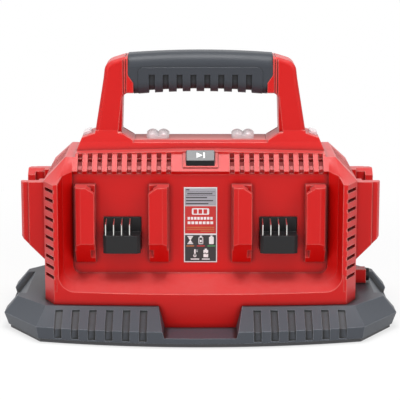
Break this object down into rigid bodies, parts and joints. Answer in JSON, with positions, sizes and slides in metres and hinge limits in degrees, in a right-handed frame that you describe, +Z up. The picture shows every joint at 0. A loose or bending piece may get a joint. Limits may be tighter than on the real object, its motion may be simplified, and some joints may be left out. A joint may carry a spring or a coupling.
{
  "type": "power tool battery charger",
  "caption": "Bench charger for slide battery packs: red housing with bays on all sides, loop handle with rubber grip, skip button and dark bumper base.",
  "frame": {"origin": "centre of the footprint, on the surface that the charger stands on", "axes": "+Z up, +X to the right along the longest side, -Y towards the front with the skip button and label"},
  "size_m": [0.35, 0.2456, 0.243],
  "materials": {
    "red_housing": "satin moulded, fine grain",
    "dark_plastic": "fine grain",
    "bumper_rubber": "matte overmould",
    "grip_rubber": "matte overmould",
    "black_plastic": "matte",
    "contacts": "plated",
    "clear_lens": "clear moulded",
    "panel": "satin translucent",
    "button_grey": "satin",
    "label": "printed film",
    "circuit_board": "lacquered",
    "steel": "zinc plated",
    "transformer_iron": "lacquered laminations",
    "copper": "enamelled wire",
    "can": "sleeved",
    "aluminium": "extruded",
    "fuse_glass": "clear",
    "lead_sleeve": "insulation",
    "status_light": "diffused"
  },
  "bodies": {
    "charger": {"base_plate": "dark_plastic", "rubber_feet": "grip_rubber", "base_screws": "steel", "bumper": "bumper_rubber", "front_shell": "red_housing", "rear_shell": "red_housing", "cord_gland": "black_plastic", "deck_screws": "steel", "tact_switch": "black_plastic", "switch_board": "circuit_board", "battery_leads": "lead_sleeve", "handle_front_half": "red_housing", "handle_rear_half": "red_housing", "handle_grip": "grip_rubber", "handle_screws": "steel", "light_panel": "panel", "display_board": "circuit_board", "status_lights": "status_light", "status_lens_left": "clear_lens", "status_lens_right": "clear_lens", "side_lens_left": "clear_lens", "side_lens_right": "clear_lens", "main_board": "circuit_board", "board_screws": "steel", "transformer_core": "transformer_iron", "transformer_windings": "copper", "bulk_capacitors": "can", "heat_sinks": "aluminium", "mains_fuse": "fuse_glass", "front_label": "label", "terminal_block_front_left": "black_plastic", "contact_blades_front_left": "contacts", "terminal_block_front_right": "black_plastic", "contact_blades_front_right": "contacts", "terminal_block_rear_left": "black_plastic", "contact_blades_rear_left": "contacts", "terminal_block_rear_right": "black_plastic", "contact_blades_rear_right": "contacts", "terminal_block_side_left": "black_plastic", "contact_blades_side_left": "contacts", "terminal_block_side_right": "black_plastic", "contact_blades_side_right": "contacts"},
    "button": {"skip_button": "button_grey"}
  },
  "joints": [
    {"name": "skip_button_press", "type": "slide", "parent": "charger", "child": "button", "axis": [0, 0.7071, -0.7071], "range_m": [0, 0.0015], "stiffness_N_per_m": 500, "springref_m": -0.002}
  ]
}
